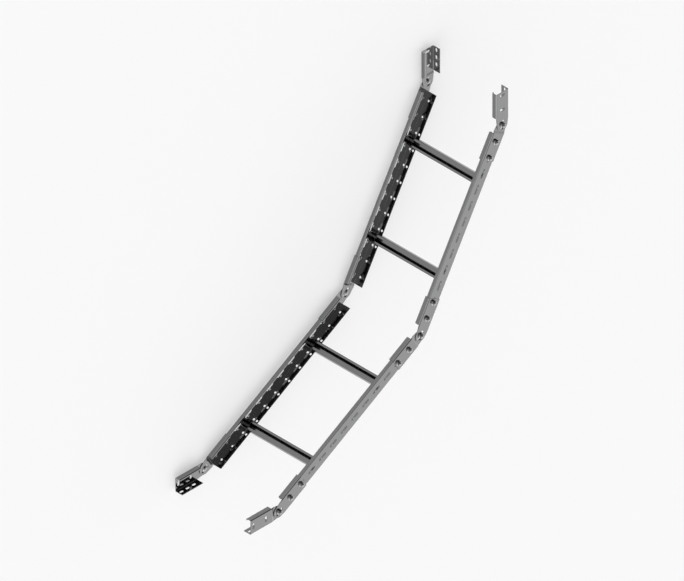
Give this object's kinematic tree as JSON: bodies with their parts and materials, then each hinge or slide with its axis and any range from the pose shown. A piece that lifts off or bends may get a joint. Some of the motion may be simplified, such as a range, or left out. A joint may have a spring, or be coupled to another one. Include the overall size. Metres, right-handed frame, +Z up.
{
  "type": "cable ladder bend",
  "caption": "Adjustable rising bend for a cable ladder: short slotted-rail ladder lengths with C rungs, joined by hinged connectors with free ends for the next ladder.",
  "frame": {"origin": "centre of the bend's footprint, on the floor that it lies on", "axes": "+X along the run below the bend towards it, +Y along the run above the bend away from it, +Z up along the pivots, from the left rails to the right ones"},
  "size_m": [1.0376, 1.0376, 0.325],
  "materials": {
    "rail_steel": "smooth galvanised sheet, mirror-like",
    "rung_steel": "smooth galvanised sheet",
    "connector_steel": "smooth galvanised sheet",
    "fastener_steel": "bright zinc-plated"
  },
  "bodies": {
    "lower_ladder": {"lower_rail_left": "rail_steel", "lower_rail_right": "rail_steel", "lower_rung_1": "rung_steel", "lower_rung_2": "rung_steel", "bottom_rail_half_left": "connector_steel", "bottom_rail_bolts_left": "fastener_steel", "bottom_rail_nuts_left": "fastener_steel", "bottom_rail_half_right": "connector_steel", "bottom_rail_bolts_right": "fastener_steel", "bottom_rail_nuts_right": "fastener_steel", "middle_lower_half_left": "connector_steel", "middle_lower_bolts_left": "fastener_steel", "middle_lower_nuts_left": "fastener_steel", "middle_lower_half_right": "connector_steel", "middle_lower_bolts_right": "fastener_steel", "middle_lower_nuts_right": "fastener_steel", "bottom_pivot_bolt_left": "fastener_steel", "bottom_pivot_bolt_right": "fastener_steel", "bottom_pivot_nut_left": "fastener_steel", "bottom_pivot_nut_right": "fastener_steel", "middle_pivot_bolt_left": "fastener_steel", "middle_pivot_bolt_right": "fastener_steel", "middle_pivot_nut_left": "fastener_steel", "middle_pivot_nut_right": "fastener_steel"},
    "upper_ladder": {"upper_rail_left": "rail_steel", "upper_rail_right": "rail_steel", "upper_rung_1": "rung_steel", "upper_rung_2": "rung_steel", "middle_upper_half_left": "connector_steel", "middle_upper_bolts_left": "fastener_steel", "middle_upper_nuts_left": "fastener_steel", "middle_upper_half_right": "connector_steel", "middle_upper_bolts_right": "fastener_steel", "middle_upper_nuts_right": "fastener_steel", "top_rail_half_left": "connector_steel", "top_rail_bolts_left": "fastener_steel", "top_rail_nuts_left": "fastener_steel", "top_rail_half_right": "connector_steel", "top_rail_bolts_right": "fastener_steel", "top_rail_nuts_right": "fastener_steel", "top_pivot_bolt_left": "fastener_steel", "top_pivot_bolt_right": "fastener_steel", "top_pivot_nut_left": "fastener_steel", "top_pivot_nut_right": "fastener_steel"},
    "bottom_end_left": {"bottom_end_half_left": "connector_steel"},
    "bottom_end_right": {"bottom_end_half_right": "connector_steel"},
    "top_end_left": {"top_end_half_left": "connector_steel"},
    "top_end_right": {"top_end_half_right": "connector_steel"}
  },
  "joints": [
    {"name": "middle_hinge", "type": "hinge", "parent": "lower_ladder", "child": "upper_ladder", "pos_m": [0.16505, -0.16505, 0.1625], "axis": [0, 0, 1], "range_deg": [-75, 15]},
    {"name": "bottom_left_hinge", "type": "hinge", "parent": "lower_ladder", "child": "bottom_end_left", "pos_m": [-0.4048, -0.49405, 0.1625], "axis": [0, 0, 1], "range_deg": [-15, 75]},
    {"name": "top_left_hinge", "type": "hinge", "parent": "upper_ladder", "child": "top_end_left", "pos_m": [0.49405, 0.4048, 0.1625], "axis": [0, 0, 1], "range_deg": [-75, 15]},
    {"name": "bottom_right_hinge", "type": "hinge", "parent": "lower_ladder", "child": "bottom_end_right", "pos_m": [-0.4048, -0.49405, 0.1625], "axis": [0, 0, 1], "range_deg": [-15, 75]},
    {"name": "top_right_hinge", "type": "hinge", "parent": "upper_ladder", "child": "top_end_right", "pos_m": [0.49405, 0.4048, 0.1625], "axis": [0, 0, 1], "range_deg": [-75, 15]}
  ]
}
